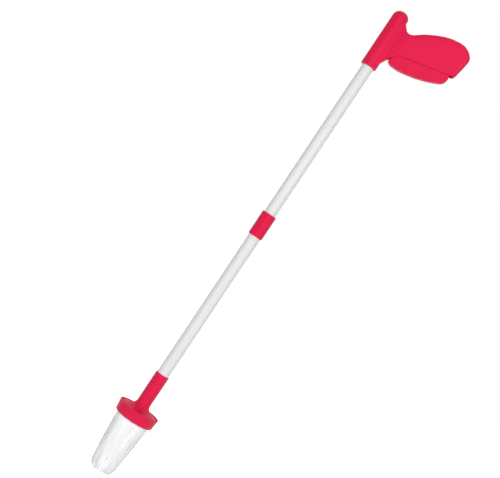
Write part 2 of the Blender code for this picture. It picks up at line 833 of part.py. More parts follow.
def build_rods():
    """Two push rods, the sleeve that couples them and the guides that centre them."""
    rod = ROD_DIAMETER / 2
    bore = rod + FIT_GAP
    web = COUPLER_WEB / 2
    upper_foot = COLLAR_MIDDLE_Z + web + FIT_GAP
    turned("upper_push_rod", rod_profile(rod, upper_foot, UPPER_ROD_TOP_Z), False, SMALL_FACETS, ACETAL)
    end = ROD_END_DIAMETER / 2
    end_z = NUT_TOP_Z - NUT_THICKNESS - ROD_END_SHOWN
    top_z = COLLAR_MIDDLE_Z - web - FIT_GAP
    stepped = [
        (0, top_z),
        (rod, top_z),
        (rod, ROD_SHOULDER_Z),
        (end, ROD_SHOULDER_Z),
        (end, end_z),
        (0, end_z),
    ]
    turned("lower_push_rod", stepped, False, SMALL_FACETS, ACETAL)
    outer = COUPLER_DIAMETER / 2
    half = COUPLER_LENGTH / 2
    sleeve = [
        (0, web),
        (bore, web),
        (bore, half),
        (outer, half),
        (outer, -half),
        (bore, -half),
        (bore, -web),
        (0, -web),
    ]
    turned("rod_coupler", sleeve, False, SMALL_FACETS, ACETAL, (0, 0, COLLAR_MIDDLE_Z))
    upper_guide = UPPER_TUBE_DIAMETER / 2 - TUBE_WALL - FIT_GAP
    lower_guide = LOWER_TUBE_DIAMETER / 2 - TUBE_WALL - FIT_GAP
    middle_foot = UPPER_TUBE_FOOT_Z + MIDDLE_GUIDE_RISE
    lower_foot = LOWER_TUBE_FOOT_Z + LOWER_GUIDE_RISE
    middle = sleeve_profile(upper_guide, bore, middle_foot, middle_foot + GUIDE_LENGTH)
    turned("middle_rod_guide", middle, True, FACETS, ACETAL)
    lower = sleeve_profile(lower_guide, bore, lower_foot, lower_foot + GUIDE_LENGTH)
    turned("lower_rod_guide", lower, True, FACETS, ACETAL)
    flange = SPRING_CHAMBER_DIAMETER / 2 - FIT_GAP
    seat = [
        (flange, SPRING_FOOT_Z),
        (flange, SPRING_SEAT_Z),
        (upper_guide, SPRING_SEAT_Z),
        (upper_guide, SPRING_SEAT_Z - SPRING_SEAT_LENGTH),
        (bore, SPRING_SEAT_Z - SPRING_SEAT_LENGTH),
        (bore, SPRING_FOOT_Z),
    ]
    turned("spring_seat", seat, True, FACETS, ACETAL)


def build_tubes():
    """The pole's two tubes and the collar that joins them end to end."""
    upper = UPPER_TUBE_DIAMETER / 2
    lower = LOWER_TUBE_DIAMETER / 2
    upper_wall = sleeve_profile(upper, upper - TUBE_WALL, UPPER_TUBE_FOOT_Z, UPPER_TUBE_TOP_Z)
    turned("upper_tube", upper_wall, True, FACETS, TUBE_WHITE)
    lower_wall = sleeve_profile(lower, lower - TUBE_WALL, LOWER_TUBE_FOOT_Z, LOWER_TUBE_TOP_Z)
    turned("lower_tube", lower_wall, True, FACETS, TUBE_WHITE)
    outer = COLLAR_DIAMETER / 2
    stop = COLLAR_STOP_BORE / 2
    stop_half = COLLAR_STOP_THICKNESS / 2
    collar = [
        (outer - COLLAR_EDGE_ROUND, COLLAR_TOP_Z),
        (outer, COLLAR_TOP_Z - COLLAR_EDGE_ROUND),
        (outer, COLLAR_FOOT_Z + COLLAR_EDGE_ROUND),
        (outer - COLLAR_EDGE_ROUND, COLLAR_FOOT_Z),
        (lower + FIT_GAP, COLLAR_FOOT_Z),
        (lower + FIT_GAP, COLLAR_MIDDLE_Z - stop_half),
        (stop, COLLAR_MIDDLE_Z - stop_half),
        (stop, COLLAR_MIDDLE_Z + stop_half),
        (upper + FIT_GAP, COLLAR_MIDDLE_Z + stop_half),
        (upper + FIT_GAP, COLLAR_TOP_Z),
    ]
    turned("tube_collar", collar, True, FACETS, CRIMSON)


def build_head():
    """The neck, the flared bell with its raised rim, and the chamber under it."""
    neck = NECK_DIAMETER / 2
    flare = RIM_TOP_OUTER - FLARE_INSET - neck
    rim_top = RIM_FOOT_Z + RIM_BAND_HEIGHT
    profile = [(neck - NECK_EDGE_ROUND, NECK_TOP_Z), (neck, NECK_TOP_Z - NECK_EDGE_ROUND)]
    under = []
    for across, up in FLARE_SHARES:
        radius = neck + across * flare
        height = rim_top + up * FLARE_HEIGHT
        profile.append((radius, height))
        under.append((radius, height - HEAD_CEILING_WALL))
    profile += [
        (RIM_TOP_OUTER - RIM_LIP_WIDTH, rim_top + RIM_LIP_HEIGHT),
        (RIM_TOP_OUTER - RIM_LIP_WIDTH / 4, rim_top + RIM_LIP_HEIGHT),
        (RIM_TOP_OUTER, rim_top),
        (RIM_FOOT_OUTER, RIM_FOOT_Z + RIM_WALL),
        (RIM_FOOT_OUTER - RIM_WALL / 4, RIM_FOOT_Z + RIM_WALL / 4),
        (RIM_FOOT_OUTER - RIM_WALL / 2, RIM_FOOT_Z),
        (RIM_INNER, RIM_FOOT_Z + RIM_WALL),
        (RIM_INNER, RIM_FOOT_Z + RIM_CHAMBER_HEIGHT),
    ]
    profile += reversed(under[2:-1])
    ledge_z = NECK_TOP_Z - NECK_SOCKET_DEPTH
    socket = LOWER_TUBE_DIAMETER / 2 + FIT_GAP
    profile += [
        (HEAD_ROD_BORE / 2, under[1][1]),
        (HEAD_ROD_BORE / 2, ledge_z),
        (socket, ledge_z),
        (socket, NECK_TOP_Z),
    ]
    turned("head_bell", profile, True, FINE_FACETS, CRIMSON)


def holder_places():
    """Where each holder's hinge lies round the pole, and how far round it is turned."""
    places = []
    for index in range(TUFTS):
        angle = SECTOR / 2 + index * SECTOR
        where = (HINGE_DIAMETER / 2 * math.cos(angle), HINGE_DIAMETER / 2 * math.sin(angle), HINGE_Z)
        places.append((f"{index + 1:02d}", where, (0, 0, angle)))
    return places


def slot_mesh():
    """The room that one holder and its trunnions need in the ring, seen from the hinge."""
    hinge = HINGE_DIAMETER / 2
    outside = RIM_INNER - FIT_GAP
    top = RING_HEIGHT + CUT_OVERRUN
    inner = RING_INNER - CUT_OVERRUN - hinge
    half = HOLDER_WIDTH / 2 + FIT_GAP
    band_z = RIM_FOOT_Z + RIM_CHAMBER_HEIGHT - FIT_GAP - RING_BAND_HEIGHT - HINGE_Z
    room = box("slot", (inner, -half, -top), (outside - RING_BAND_WALL - hinge, half, top))
    room = join(room, box("slot_foot", (inner, -half, -top), (outside + CUT_OVERRUN - hinge, half, band_z)))
    return join(room, side_outline("notch", notch_outline(NOTCH_HALF, top), NOTCH_REACH)).data


def build_hinge_ring():
    """The ring under the bell, with a slot and two notches for each holder."""
    top = RIM_FOOT_Z + RIM_CHAMBER_HEIGHT - FIT_GAP
    wall = sleeve_profile(RIM_INNER - FIT_GAP, RING_INNER, top - RING_HEIGHT, top)
    ring = turned("hinge_ring", wall, True, FINE_FACETS, ACETAL)
    room = slot_mesh()
    for label, where, turn in holder_places():
        ring = cut(ring, place(f"slot_{label}", room, None, where, turn))


def holder_mesh():
    """A holder seen from its hinge: X points outwards from the pole and Y along the trunnions."""
    half = HOLDER_WIDTH / 2
    holder = box("holder", (-HOLDER_INWARD, -half, -HOLDER_BELOW), (HOLDER_OUTWARD, half, HOLDER_ABOVE))
    tongue = nosed_arm(TONGUE_LENGTH, TONGUE_THICKNESS, TONGUE_THICKNESS, TONGUE_BULB_DIAMETER)
    holder = join(holder, side_outline("tongue", tongue, TONGUE_WIDTH / 2, tilt=TUFT_SWING / 2))
    holder = join(holder, cross_bar("trunnion", TRUNNION_DIAMETER / 2, half + TRUNNION_LENGTH, TINY_FACETS))
    low_x, high_x, half_y = backing_size()
    ceiling = BACKING_THICKNESS + FIT_GAP - HOLDER_BELOW
    pocket_low = (low_x - FIT_GAP, -half_y - FIT_GAP, -HOLDER_BELOW - CUT_OVERRUN)
    pocket_high = (high_x + FIT_GAP, half_y + FIT_GAP, ceiling)
    return cut(holder, box("pocket", pocket_low, pocket_high)).data


def backing_size():
    """The slice of backing in a holder's pocket: its inner and outer side and half its width."""
    margin = HOLDER_WALL + FIT_GAP
    return margin - HOLDER_INWARD, HOLDER_OUTWARD - margin, HOLDER_WIDTH / 2 - margin


def strand_tip(row, column):
    """Where a strand ends, seen from the hinge. Row and column run from 0 to 1."""
    half = STRAND_TIP_SIZE / 2
    inner = BRUSH_TIP_HOLE / 2 + half
    outer = BRUSH_TIP_DIAMETER / 2 - half
    radius = inner + row * (outer - inner)
    side = 2 * column - 1
    spread = radius * math.tan(SECTOR / 2) - TUFT_SPACING / 2 - half
    rise = TIP_CORNER_RISE * row ** 4 + TIP_SIDE_RISE * side ** 2 * row
    return Vector((radius - HINGE_DIAMETER / 2, side * spread, rise - HINGE_Z))


def tuft_mesh():
    """A backing slice and its strands as one body: each cell of the slice's foot is drawn out to a tip."""
    low_x, high_x, half_y = backing_size()
    work = bmesh.new()
    bmesh.ops.create_grid(work, x_segments=STRAND_ROWS, y_segments=STRAND_COLUMNS, size=1)
    size = Matrix.Diagonal(((high_x - low_x) / 2, half_y, 1, 1))
    middle = Matrix.Translation(((high_x + low_x) / 2, 0, -HOLDER_BELOW))
    bmesh.ops.transform(work, matrix=middle @ size, verts=work.verts)
    cells = list(work.faces)
    made = bmesh.ops.extrude_face_region(work, geom=cells, use_keep_orig=True)["geom"]
    top_verts = [item for item in made if isinstance(item, bmesh.types.BMVert)]
    top_faces = [item for item in made if isinstance(item, bmesh.types.BMFace)]
    bmesh.ops.translate(work, vec=(0, 0, BACKING_THICKNESS), verts=top_verts)
    bmesh.ops.dissolve_faces(work, faces=top_faces, use_verts=False)
    bmesh.ops.recalc_face_normals(work, faces=work.faces)
    bmesh.ops.inset_individual(work, faces=cells, thickness=STRAND_MARGIN, use_even_offset=True)
    tips = bmesh.ops.extrude_discrete_faces(work, faces=cells)["faces"]
    for face in tips:
        centre = face.calc_center_median()
        row = (centre.x - low_x) / (high_x - low_x) * STRAND_ROWS - 0.5
        column = (centre.y + half_y) / (2 * half_y) * STRAND_COLUMNS - 0.5
        end = strand_tip(row / (STRAND_ROWS - 1), column / (STRAND_COLUMNS - 1))
        for vert in face.verts:
            x = math.copysign(STRAND_TIP_SIZE / 2, vert.co.x - centre.x)
            y = math.copysign(STRAND_TIP_SIZE / 2, vert.co.y - centre.y)
            vert.co = end + Vector((x, y, 0))
    mesh = bpy.data.meshes.new("bristle_tuft")
    work.to_mesh(mesh)
    work.free()
    return mesh


def build_brush():
    """Twelve hinged holders, each with its own tuft."""
    holder = holder_mesh()
    tuft = tuft_mesh()
    for label, where, turn in holder_places():
        place(f"tuft_holder_{label}", holder, ACETAL, where, turn)
        place(f"bristle_tuft_{label}", tuft, NYLON, where, turn)


def build_actuator():
    """The grooved disc that moves the holders' tongues, and its nut."""
    bore = ROD_END_DIAMETER / 2 + FIT_GAP
    boss = DISC_BOSS_DIAMETER / 2
    hub = HINGE_DIAMETER / 2 - TONGUE_LENGTH - TONGUE_BULB_DIAMETER / 2 - FIT_GAP
    flange = HINGE_DIAMETER / 2 - TONGUE_DROP + DISC_LIP_COVER
    profile = [
        (boss, DISC_TOP_Z + DISC_BOSS_HEIGHT),
        (boss, DISC_TOP_Z),
        (flange, DISC_TOP_Z),
        (flange, DISC_TOP_Z - DISC_FLANGE),
        (hub, DISC_TOP_Z - DISC_FLANGE),
        (hub, DISC_FOOT_Z + DISC_FLANGE),
        (flange, DISC_FOOT_Z + DISC_FLANGE),
        (flange, DISC_FOOT_Z),
        (bore, DISC_FOOT_Z),
        (bore, DISC_TOP_Z + DISC_BOSS_HEIGHT),
    ]
    turned("actuator_disc", profile, True, FACETS, ACETAL)
    across_corners = NUT_WIDTH / 2 / math.cos(math.pi / 6)
    blank = rod_profile(across_corners, NUT_TOP_Z - NUT_THICKNESS, NUT_TOP_Z)
    nut = turned("disc_nut", blank, False, 6, STEEL)
    hole = rod_profile(bore, NUT_TOP_Z - NUT_THICKNESS - CUT_OVERRUN, NUT_TOP_Z + CUT_OVERRUN)
    cut(nut, turned("nut_bore", hole, False, SMALL_FACETS))


def main():
    build_tubes()
    build_rods()
    build_rod_head()
    build_return_spring()
    build_head()
    build_hinge_ring()
    build_brush()
    build_actuator()
    build_trigger()
    build_handle()
    build_screws()


main()
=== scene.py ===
"""The spider catcher's looks: crimson shells, a white pole and a brush of soft nylon bristles."""

import math
import random

import bmesh
import bpy
from mathutils import Matrix, Vector


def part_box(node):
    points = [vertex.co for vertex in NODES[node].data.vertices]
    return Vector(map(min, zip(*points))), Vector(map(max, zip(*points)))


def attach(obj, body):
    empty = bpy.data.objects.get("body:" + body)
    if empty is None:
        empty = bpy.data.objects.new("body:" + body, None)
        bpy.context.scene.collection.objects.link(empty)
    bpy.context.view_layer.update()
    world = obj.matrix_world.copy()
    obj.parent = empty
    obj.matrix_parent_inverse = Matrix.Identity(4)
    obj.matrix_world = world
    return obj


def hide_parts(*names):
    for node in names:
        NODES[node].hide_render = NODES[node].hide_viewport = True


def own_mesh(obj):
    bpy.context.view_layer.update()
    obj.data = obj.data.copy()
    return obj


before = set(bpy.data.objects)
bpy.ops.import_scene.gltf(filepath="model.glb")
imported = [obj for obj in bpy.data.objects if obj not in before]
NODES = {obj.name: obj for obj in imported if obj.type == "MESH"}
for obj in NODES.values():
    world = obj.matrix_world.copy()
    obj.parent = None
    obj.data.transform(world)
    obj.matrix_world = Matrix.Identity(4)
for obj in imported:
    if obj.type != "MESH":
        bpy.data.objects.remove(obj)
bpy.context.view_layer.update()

# The pole stands along Z through this point, and the bristle tips are its lowest level
POLE_X = -0.055
TIP_Z = -0.622

# Round pieces of the pole. A corner's arc takes at most one part in CORNER_LIMIT of a side
ROUND_STEPS = 96
CORNER_STEPS = 4
SMOOTH_ANGLE = math.radians(35)
CORNER_LIMIT = 2.2
SEAM_MERGE = 0.00001
COLLAR_CORNER = 0.0009
TUBE_CORNER = 0.0002
TUBE_WALL = 0.0012
TUBE_FIT = 0.0003
COLLAR_STOP = 0.003
COLLAR_STOP_BORE = 0.0112

# The head: neck, flare, rim and the chamber under it. A flare share is (outwards, upwards)
RIM_FOOT = 0.073
HEAD_HEIGHT = 0.062
NECK_RADIUS = 0.0086
NECK_BORE = 0.0078
NECK_SOCKET = 0.031
ROD_BORE = 0.005
RIM_TOP_RADIUS = 0.026
RIM_FOOT_RADIUS = 0.0246
RIM_BAND = 0.012
RIM_LIP_HEIGHT = 0.0011
RIM_LIP_WIDTH = 0.0010
GROOVE_WIDTH = 0.0007
GROOVE_DEPTH = 0.0009
RIM_ROUND = 0.0009
FLARE_RADIUS = 0.0242
FLARE_HEIGHT = 0.0105
CHAMBER_RADIUS = 0.0233
CHAMBER_HEIGHT = 0.0073
CEILING_WALL = 0.0022
FLARE_STEPS = 4
FLARE_SHARES = (
    (0.000, 1.000),
    (0.020, 0.800),
    (0.075, 0.620),
    (0.200, 0.430),
    (0.420, 0.255),
    (0.700, 0.110),
    (1.000, 0.000),
)

# Moulded pieces: the grain of the rebuilt surface, and how far its edges are eased
SHELL_GRAIN = 0.0006
SHELL_EASING = 24
TRIGGER_GRAIN = 0.0005
TRIGGER_EASING = 10
EASING_FACTOR = 0.5
PARTING_HALF = 0.0009
WELD = 0.000002

# The web beside the barrel lies lower than the grip, so the barrel stands out as a round form
BARREL_RADIUS = 0.010
WEB_START = 0.003
WEB_END = 0.023
WEB_HALF = 0.0074
WEB_INSIDE = 0.0070
GRIP_HALF = 0.0090

# The return spring: its wire's radius and its winding
SPRING_WIRE = 0.0005
SPRING_TURNS = 5
SPRING_STEPS = 28
SPRING_SIDES = 10

# Bristles of one tuft. A strand's place in it runs from 0 to 1 outwards and from -1 to 1 across
TUFTS = 12
STRAND_ROWS = 16
STRAND_COLUMNS = 21
STRAND_RINGS = 5
STRAND_SIDES = 3
STRAND_RADIUS = 0.00024
STRAND_TIP_SHARE = 0.6
ROOT_Z = 0.0713
ROOT_INNER = 0.0176
BRUSH_TOP_RADIUS = 0.0209
BRUSH_TIP_RADIUS = 0.0163
MOUTH_RADIUS = 0.0062
TUFT_SPACING = 0.0005
STRAND_OVERLAP = 0.0004
TIP_CORNER_RISE = 0.0080
TIP_SIDE_RISE = 0.0056
TIP_GATHERING = 0.22
TUFT_UNEVENNESS = 0.0024
TIP_RAGGEDNESS = 0.0012
STRAND_WANDER = 0.0003
OUTER_CROWDING = 0.7
MASS_SHADING = 0.65

# The fused root block that each tuft hangs from, and its pad in the holder's pocket
BLOCK_FOOT_Z = 0.0708
BLOCK_TOP_Z = 0.0716
PAD_TOP_Z = 0.0727
PAD_INNER = 0.0173
PAD_OUTER = 0.0205
PAD_HALF = 0.0026
BLOCK_STEPS = 4

# The photographed view: the pole leans in the frame, and the camera looks straight at its side
POLE_LEAN = math.radians(33.7)
VIEW_DISTANCE = 1.331
VIEW_CENTRE_X = -0.00305
VIEW_CENTRE_Z = 0.3236
FRAME_WIDTH = 0.5858
SENSOR_WIDTH = 36.0
NEAREST_SEEN = 0.01

# Studio: the floor's own glow rises from near to far, past the tool's shadow
FLOOR_DROP = 0.20
FLOOR_REACH = 30
SHADOW_REACH = 0.5
SHADOW_END = 1.5
NEAR_GLOW = 0.45
FAR_GLOW = 0.90
AMBIENT = 0.22

# Each lamp's place, width, power in watts, and whether it shows in glossy pieces
LAMPS = {
    "key_lamp": ((0.00, -1.70, -0.10), 0.9, 15.4, False),
    "side_lamp": ((0.55, -1.50, 0.10), 0.5, 3.8, True),
    "top_lamp": ((-0.05, -0.60, 1.50), 0.9, 3, False),
    "right_back_lamp": ((0.66, 1.54, -0.20), 0.9, 12, False),
    "left_back_lamp": ((-0.90, 1.47, -0.20), 0.9, 12, False),
}

# Patterns in the finishes: how far apart the marks are drawn, in metres. The two shares scale Z,
# so that lines and streaks run along the pole
MELT_FLOW = 0.030
POLISH_PATCH = 0.006
SPARK_GRAIN = 0.00045
DRAWING_LINE = 0.0025
DRAWING_SHARE = 0.02
ACETAL_CLOUD = 0.008
STRAND_STREAK = 0.0034
STREAK_SHARE = 0.03
TURNING_MARK = 0.0006


def linear(hex_colour):
    """An sRGB hex colour as a linear colour with full alpha."""
    channels = []
    for start in (1, 3, 5):
        share = int(hex_colour[start:start + 2], 16) / 255
        channels.append(share / 12.92 if share <= 0.04045 else ((share + 0.055) / 1.055) ** 2.4)
    return (*channels, 1.0)


def add_node(tree, kind, inputs=None, **settings):
    """Add a node, with its settings and with each input set or linked."""
    made = tree.nodes.new(kind)
    for name, value in settings.items():
        setattr(made, name, value)
    for name, value in (inputs or {}).items():
        if isinstance(value, bpy.types.NodeSocket):
            tree.links.new(value, made.inputs[name])
        else:
            made.inputs[name].default_value = value
    return made


def new_material(name):
    """A material with a Principled shader and the piece's own coordinates in metres."""
    material = bpy.data.materials.new(name)
    material.use_nodes = True
    tree = material.node_tree
    shader = tree.nodes["Principled BSDF"]
    place = add_node(tree, "ShaderNodeTexCoord").outputs["Object"]
    return material, tree, shader, place


def crimson_moulded_abs():
    """Injection-moulded ABS: coloured right through, a satin skin, a faint flow of the melt."""
    material, tree, shader, place = new_material("crimson_moulded_abs")
    flow = add_node(
        tree,
        "ShaderNodeTexNoise",
        {"Vector": place, "Scale": 1 / MELT_FLOW, "Detail": 3.0},
    )
    tone = add_node(tree, "ShaderNodeValToRGB", {"Fac": flow.outputs["Fac"]})
    tone.color_ramp.elements[0].position = 0.30
    tone.color_ramp.elements[0].color = linear("#DF1046")
    tone.color_ramp.elements[1].position = 0.70
    tone.color_ramp.elements[1].color = linear("#E9164B")
    polish = add_node(
        tree,
        "ShaderNodeTexNoise",
        {"Vector": place, "Scale": 1 / POLISH_PATCH, "Detail": 2.0},
    )
    gloss = add_node(
        tree,
        "ShaderNodeMapRange",
        {"Value": polish.outputs["Fac"], "To Min": 0.44, "To Max": 0.56},
    )
    # The mould's fine spark texture is 0.1 mm across; it is drawn at 0.45 mm so that it shows
    grain = add_node(
        tree,
        "ShaderNodeTexNoise",
        {"Vector": place, "Scale": 1 / SPARK_GRAIN, "Detail": 2.0},
    )
    skin = add_node(
        tree,
        "ShaderNodeBump",
        {"Height": grain.outputs["Fac"], "Strength": 0.10, "Distance": 0.00005},
    )
    sink = add_node(
        tree,
        "ShaderNodeBump",
        {
            "Height": flow.outputs["Fac"],
            "Strength": 0.15,
            "Distance": 0.0005,
            "Normal": skin.outputs["Normal"],
        },
    )
    tree.links.new(tone.outputs["Color"], shader.inputs["Base Color"])
    tree.links.new(gloss.outputs["Result"], shader.inputs["Roughness"])
    tree.links.new(sink.outputs["Normal"], shader.inputs["Normal"])
    shader.inputs["IOR"].default_value = 1.53
    shader.inputs["Specular IOR Level"].default_value = 0.27
    return material


def white_extruded_abs():
    """Extruded ABS: cool white and smooth, with faint drawing lines that run along the tube."""
    material, tree, shader, place = new_material("white_extruded_abs")
    stretched = add_node(
        tree,
        "ShaderNodeMapping",
        {"Vector": place, "Scale": (1.0, 1.0, DRAWING_SHARE)},
    )
    # The die's lines are about 0.3 mm apart; they are drawn at 2.5 mm so that they show
    lines = add_node(
        tree,
        "ShaderNodeTexNoise",
        {"Vector": stretched.outputs["Vector"], "Scale": 1 / DRAWING_LINE, "Detail": 2.0},
    )
    tone = add_node(tree, "ShaderNodeValToRGB", {"Fac": lines.outputs["Fac"]})
    tone.color_ramp.elements[0].position = 0.25
    tone.color_ramp.elements[0].color = linear("#E9E9EB")
    tone.color_ramp.elements[1].position = 0.75
    tone.color_ramp.elements[1].color = linear("#F1F1F2")
    gloss = add_node(
        tree,
        "ShaderNodeMapRange",
        {"Value": lines.outputs["Fac"], "To Min": 0.30, "To Max": 0.42},
    )
    draw = add_node(
        tree,
        "ShaderNodeBump",
        {"Height": lines.outputs["Fac"], "Strength": 0.03, "Distance": 0.0001},
    )
    tree.links.new(tone.outputs["Color"], shader.inputs["Base Color"])
    tree.links.new(gloss.outputs["Result"], shader.inputs["Roughness"])
    tree.links.new(draw.outputs["Normal"], shader.inputs["Normal"])
    shader.inputs["IOR"].default_value = 1.53
    shader.inputs["Specular IOR Level"].default_value = 0.25
    return material


def natural_acetal():
    """Moulded acetal: a waxy off-white with a dull sheen, a little cloudy."""
    material, tree, shader, place = new_material("natural_acetal")
    cloud = add_node(
        tree,
        "ShaderNodeTexNoise",
        {"Vector": place, "Scale": 1 / ACETAL_CLOUD, "Detail": 3.0},
    )
    tone = add_node(tree, "ShaderNodeValToRGB", {"Fac": cloud.outputs["Fac"]})
    tone.color_ramp.elements[0].position = 0.30
    tone.color_ramp.elements[0].color = linear("#E2E2DC")
    tone.color_ramp.elements[1].position = 0.70
    tone.color_ramp.elements[1].color = linear("#ECECE8")
    gloss = add_node(
        tree,
        "ShaderNodeMapRange",
        {"Value": cloud.outputs["Fac"], "To Min": 0.40, "To Max": 0.52},
    )
    skin = add_node(
        tree,
        "ShaderNodeBump",
        {"Height": cloud.outputs["Fac"], "Strength": 0.10, "Distance": 0.0002},
    )
    tree.links.new(tone.outputs["Color"], shader.inputs["Base Color"])
    tree.links.new(gloss.outputs["Result"], shader.inputs["Roughness"])
    tree.links.new(skin.outputs["Normal"], shader.inputs["Normal"])
    shader.inputs["IOR"].default_value = 1.48
    return material


def soft_nylon_filament():
    """Drawn nylon: milky white, darker streaks of painted shade, a soft sheen and a painted glow.
    """
    material, tree, shader, place = new_material("soft_nylon_filament")
    stretched = add_node(
        tree,
        "ShaderNodeMapping",
        {"Vector": place, "Scale": (1.0, 1.0, STREAK_SHARE)},
    )
    # Painted shade: the darker streaks stand for the shade where strands lie closer
    shade_streak = add_node(
        tree,
        "ShaderNodeTexNoise",
        {"Vector": stretched.outputs["Vector"], "Scale": 1 / STRAND_STREAK, "Detail": 3.0},
    )
    tone = add_node(tree, "ShaderNodeValToRGB", {"Fac": shade_streak.outputs["Fac"]})
    tone.color_ramp.elements[0].position = 0.36
    tone.color_ramp.elements[0].color = linear("#E5E7E9")
    tone.color_ramp.elements[1].position = 0.60
    tone.color_ramp.elements[1].color = linear("#FCFCFD")
    gloss = add_node(
        tree,
        "ShaderNodeMapRange",
        {"Value": shade_streak.outputs["Fac"], "To Min": 0.38, "To Max": 0.55},
    )
    tree.links.new(tone.outputs["Color"], shader.inputs["Base Color"])
    tree.links.new(gloss.outputs["Result"], shader.inputs["Roughness"])
    shader.inputs["IOR"].default_value = 1.53
    shader.inputs["Sheen Weight"].default_value = 0.7
    shader.inputs["Sheen Roughness"].default_value = 0.5
    # Painted glow: a faint even glow stands in for light that scatters from strand to strand
    shader.inputs["Emission Color"].default_value = linear("#FDFDFE")
    shader.inputs["Emission Strength"].default_value = 0.17
    material.cycles.emission_sampling = "NONE"
    return material


def zinc_plated_steel():
    """Zinc-plated steel: a bright grey with a faint blue, and fine turning marks."""
    material, tree, shader, place = new_material("zinc_plated_steel")
    # Turning marks are about 0.1 mm apart; they are drawn at 0.6 mm so that they show
    marks = add_node(
        tree,
        "ShaderNodeTexNoise",
        {"Vector": place, "Scale": 1 / TURNING_MARK, "Detail": 3.0},
    )
    tone = add_node(tree, "ShaderNodeValToRGB", {"Fac": marks.outputs["Fac"]})
    tone.color_ramp.elements[0].position = 0.30
    tone.color_ramp.elements[0].color = linear("#B6B9BD")
    tone.color_ramp.elements[1].position = 0.70
    tone.color_ramp.elements[1].color = linear("#CDCFD2")
    gloss = add_node(
        tree,
        "ShaderNodeMapRange",
        {"Value": marks.outputs["Fac"], "To Min": 0.24, "To Max": 0.38},
    )
    scratch = add_node(
        tree,
        "ShaderNodeBump",
        {"Height": marks.outputs["Fac"], "Strength": 0.12, "Distance": 0.00005},
    )
    tree.links.new(tone.outputs["Color"], shader.inputs["Base Color"])
    tree.links.new(gloss.outputs["Result"], shader.inputs["Roughness"])
    tree.links.new(scratch.outputs["Normal"], shader.inputs["Normal"])
    shader.inputs["Metallic"].default_value = 1.0
    return material


CRIMSON = crimson_moulded_abs()
TUBE_WHITE = white_extruded_abs()
ACETAL = natural_acetal()
NYLON = soft_nylon_filament()
ZINC = zinc_plated_steel()


def new_piece(name, mesh, material, slot, body, *replaced):
    """A piece of one material that rides on a body and stands for the nodes it replaces."""
    piece = bpy.data.objects.new(name, mesh)
    bpy.context.scene.collection.objects.link(piece)
    mesh.materials.clear()
    mesh.materials.append(material)
    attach(piece, body)
    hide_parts(*replaced)
    return piece


def evaluated_mesh(item):
    """The mesh that an object's modifiers make."""
    bpy.context.view_layer.update()
    graph = bpy.context.evaluated_depsgraph_get()
    return bpy.data.meshes.new_from_object(item.evaluated_get(graph))


def drop(item):
    """Remove a working object."""
    bpy.data.objects.remove(item, do_unlink=True)


def eased(points, radius):
    """A closed profile with each corner drawn into a small arc, as far as its sides allow."""
    drawn = []
    for index, point in enumerate(points):
        corner = Vector(point)
        into = Vector(points[index - 1]) - corner
        out = Vector(points[(index + 1) % len(points)]) - corner
        start = corner + into.normalized() * min(radius, into.length / CORNER_LIMIT)
        end = corner + out.normalized() * min(radius, out.length / CORNER_LIMIT)
        for step in range(CORNER_STEPS + 1):
            share = step / CORNER_STEPS
            drawn.append(
                start * (1 - share) ** 2 + corner * 2 * share * (1 - share) + end * share ** 2
            )
    return [tuple(point) for point in drawn]


def smooth_path(points, steps):
    """A smooth open line through points, with a number of steps between each two."""
    path = []
    for index in range(len(points) - 1):
        before = Vector(points[max(index - 1, 0)])
        start = Vector(points[index])
        end = Vector(points[index + 1])
        after = Vector(points[min(index + 2, len(points) - 1)])
        for step in range(steps):
            share = step / steps
            bend = (end - before) * share
            bend += (2 * before - 5 * start + 4 * end - after) * share ** 2
            bend += (3 * start - before - 3 * end + after) * share ** 3
            path.append(tuple(start + bend / 2))
    path.append(tuple(points[-1]))
    return path


def turned_mesh(name, profile):
    """A closed profile of (radius, height above the bristle tips) turned round the pole's axis."""
    mesh = bpy.data.meshes.new(name)
    edges = [(index, (index + 1) % len(profile)) for index in range(len(profile))]
    mesh.from_pydata([(radius, 0, height) for radius, height in profile], edges, [])
    item = bpy.data.objects.new(name, mesh)
    bpy.context.scene.collection.objects.link(item)
    screw = item.modifiers.new("turn", "SCREW")
    screw.axis = "Z"
    screw.steps = ROUND_STEPS
    screw.render_steps = ROUND_STEPS
    screw.use_merge_vertices = True
    screw.merge_threshold = SEAM_MERGE
    made = evaluated_mesh(item)
    drop(item)
    made.transform(Matrix.Translation((POLE_X, 0, TIP_Z)))
    work = bmesh.new()
    work.from_mesh(made)
    bmesh.ops.recalc_face_normals(work, faces=work.faces)
    work.to_mesh(made)
    work.free()
    made.shade_smooth()
    made.set_sharp_from_angle(angle=SMOOTH_ANGLE)
    return made


def node_span(node):
    """A round node's radius, and its foot and top above the bristle tips."""
    low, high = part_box(node)
    return (high.x - low.x) / 2, low.z - TIP_Z, high.z - TIP_Z


def build_tubes():
    """The two tube walls, with the tiny eased ends of a sawn and deburred tube."""
    for node in ("upper_tube", "lower_tube"):
        radius, foot, top = node_span(node)
        bore = radius - TUBE_WALL
        wall = [(radius, top), (radius, foot), (bore, foot), (bore, top)]
        mesh = turned_mesh(f"{node}_wall", eased(wall, TUBE_CORNER))
        new_piece(f"{node}_wall", mesh, TUBE_WHITE, "white_tube_plastic", "pole", node)


def build_collar():
    """The sleeve that joins the tubes, with rounded ends and the stop inside."""
    radius, foot, top = node_span("tube_collar")
    middle = (foot + top) / 2
    half = COLLAR_STOP / 2
    upper = node_span("upper_tube")[0] + TUBE_FIT
    lower = node_span("lower_tube")[0] + TUBE_FIT
    stop = COLLAR_STOP_BORE / 2
    outside = eased([(lower, top), (radius, top), (radius, foot), (lower, foot)], COLLAR_CORNER)
    outside = outside[CORNER_STEPS + 1:-CORNER_STEPS - 1]
    inside = [
        (lower, foot),
        (lower, middle - half),
        (stop, middle - half),
        (stop, middle + half),
        (upper, middle + half),
        (upper, top),
    ]
    mesh = turned_mesh("collar_sleeve", outside + inside)
    new_piece("collar_sleeve", mesh, CRIMSON, "crimson_plastic", "pole", "tube_collar")


